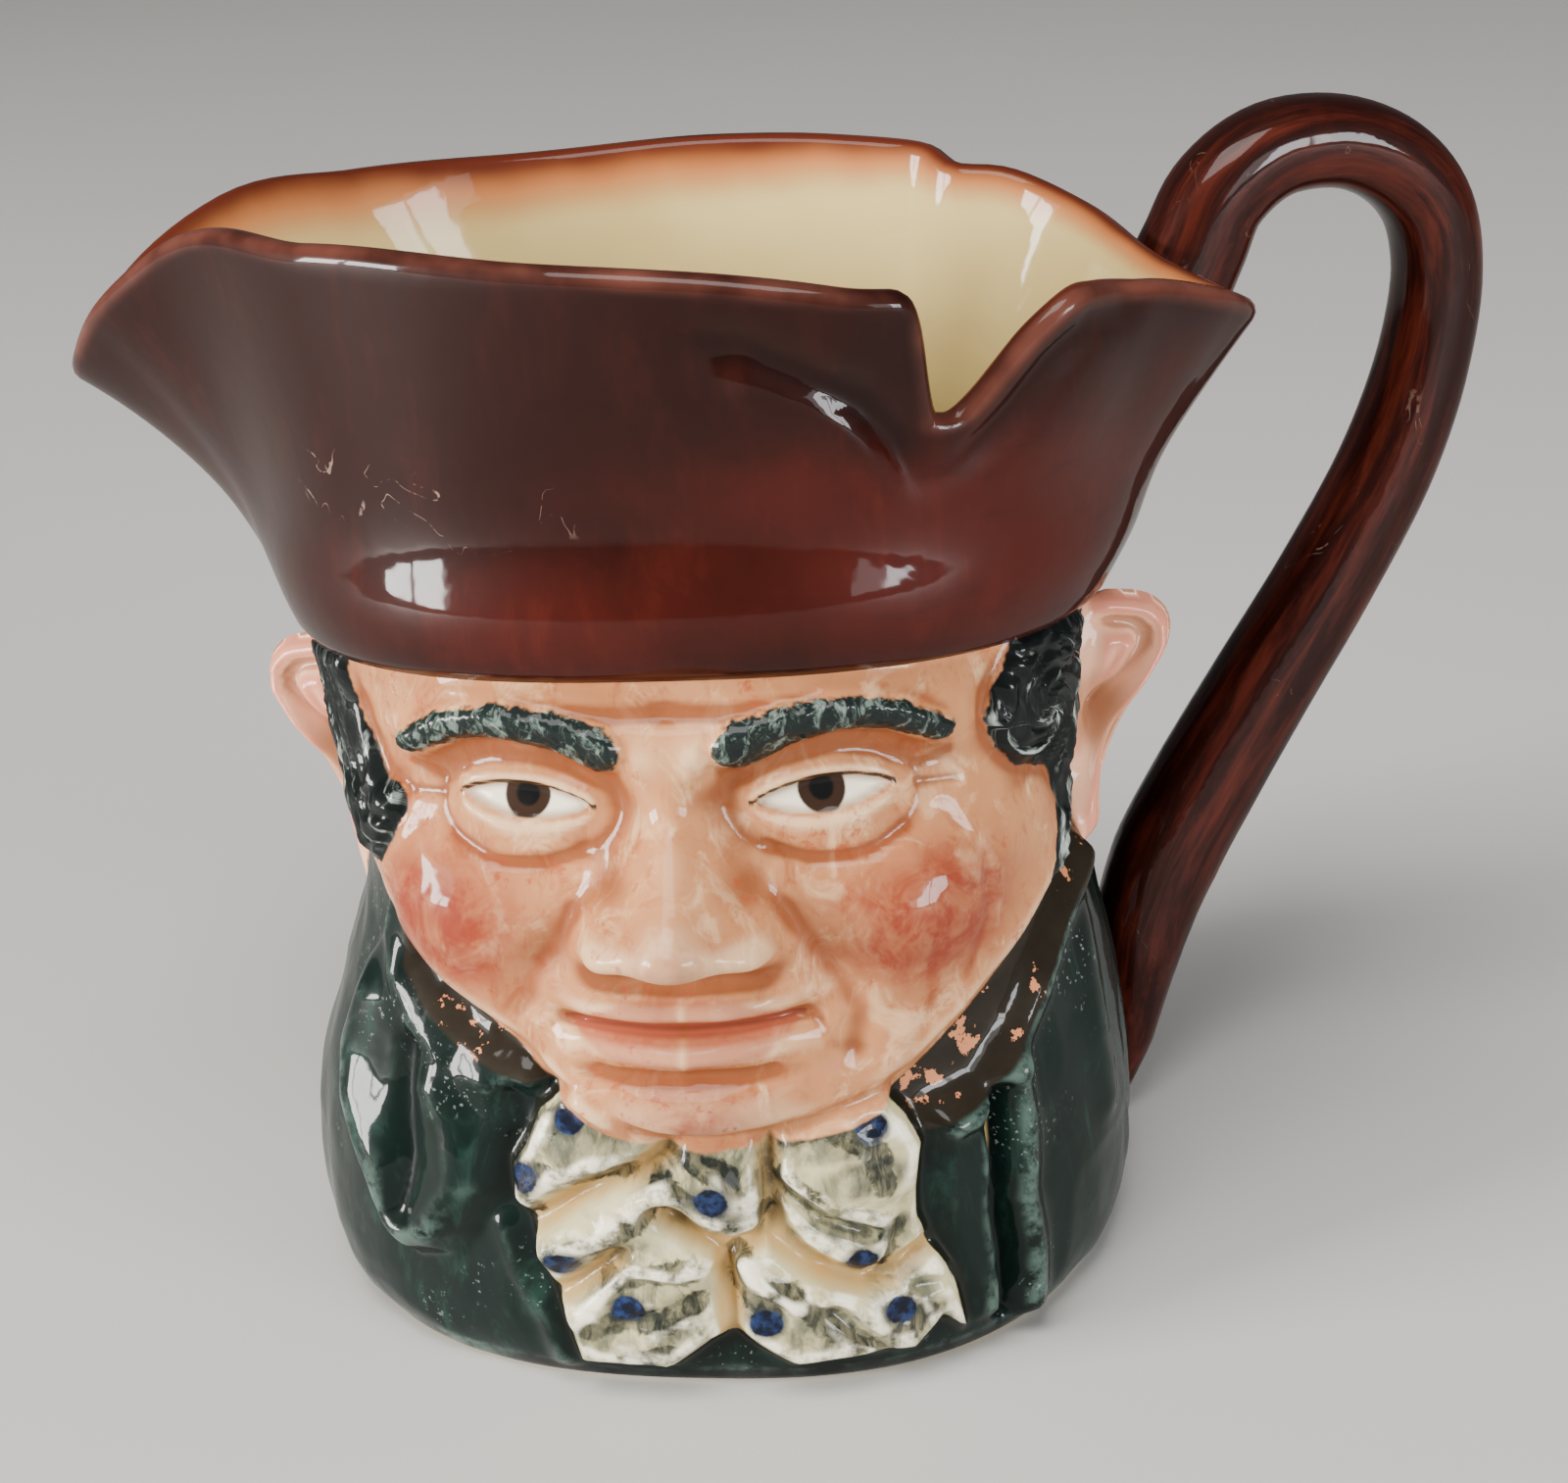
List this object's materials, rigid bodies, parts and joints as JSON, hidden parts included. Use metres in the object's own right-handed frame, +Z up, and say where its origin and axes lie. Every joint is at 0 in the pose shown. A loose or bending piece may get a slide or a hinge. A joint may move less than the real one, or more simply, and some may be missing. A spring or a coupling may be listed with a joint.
{
  "type": "toby jug",
  "caption": "Hollow glazed earthenware jug shaped as a head in a tricorn hat that forms the pouring spout, with coat, spotted cravat and a looped side handle.",
  "frame": {"origin": "middle of the flat underside", "axes": "+Z up, the face looks towards -Y, the pouring spout points to -X and the handle stands out to +X"},
  "size_m": [0.1741, 0.1081, 0.1398],
  "materials": {
    "glazed_earthenware": "hand-painted under a clear, glossy glaze"
  },
  "bodies": {
    "root": {"jug": "glazed_earthenware"}
  },
  "joints": []
}
